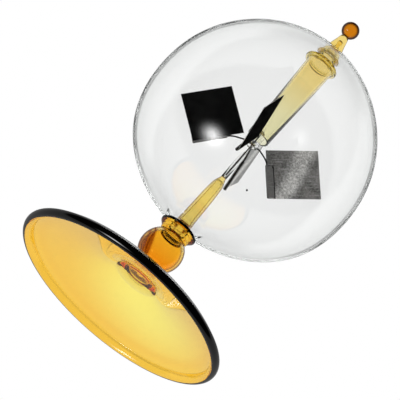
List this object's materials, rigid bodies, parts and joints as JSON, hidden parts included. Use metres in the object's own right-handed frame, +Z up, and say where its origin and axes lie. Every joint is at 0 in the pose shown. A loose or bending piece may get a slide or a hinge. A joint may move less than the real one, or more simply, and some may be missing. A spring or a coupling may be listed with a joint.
{
  "type": "radiometer",
  "caption": "Light mill: a free-turning rotor of square vanes, black on one face, on a needle in a clear sealed bulb, with an amber glass ball knop and foot.",
  "frame": {"origin": "centre of the foot's resting plane, under the needle's axis", "axes": "+Z up along the needle's axis, +X to the right and +Y to the back when it is seen from the front"},
  "size_m": [0.0804, 0.0804, 0.132],
  "materials": {
    "amber_glass": "gloss amber blown glass",
    "dark_amber_glass": "gloss deep amber glass",
    "straw_glass": "gloss straw-coloured glass",
    "clear_glass": "gloss clear glass",
    "steel": "drawn, polished point",
    "arm_wire": "dark drawn wire",
    "vane_metal": "mottled, scuffed sheet",
    "lamp_black": "lamp black, satin"
  },
  "bodies": {
    "stand": {"foot": "amber_glass", "ball_knop": "amber_glass", "collar": "amber_glass", "support_stem": "amber_glass", "needle_holder": "clear_glass", "needle": "steel", "bulb": "clear_glass", "guide_tube": "straw_glass", "finial_cone": "amber_glass", "finial_ball": "dark_amber_glass"},
    "rotor": {"pivot_cup": "clear_glass", "arm_1": "arm_wire", "arm_2": "arm_wire", "arm_3": "arm_wire", "arm_4": "arm_wire", "vane_1": "vane_metal", "vane_2": "vane_metal", "vane_3": "vane_metal", "vane_4": "vane_metal", "blacking_1": "lamp_black", "blacking_2": "lamp_black", "blacking_3": "lamp_black", "blacking_4": "lamp_black"}
  },
  "joints": [
    {"name": "rotor_spin", "type": "hinge", "parent": "stand", "child": "rotor", "pos_m": [0, 0, 0.07844], "axis": [0, 0, 1], "continuous": true}
  ]
}
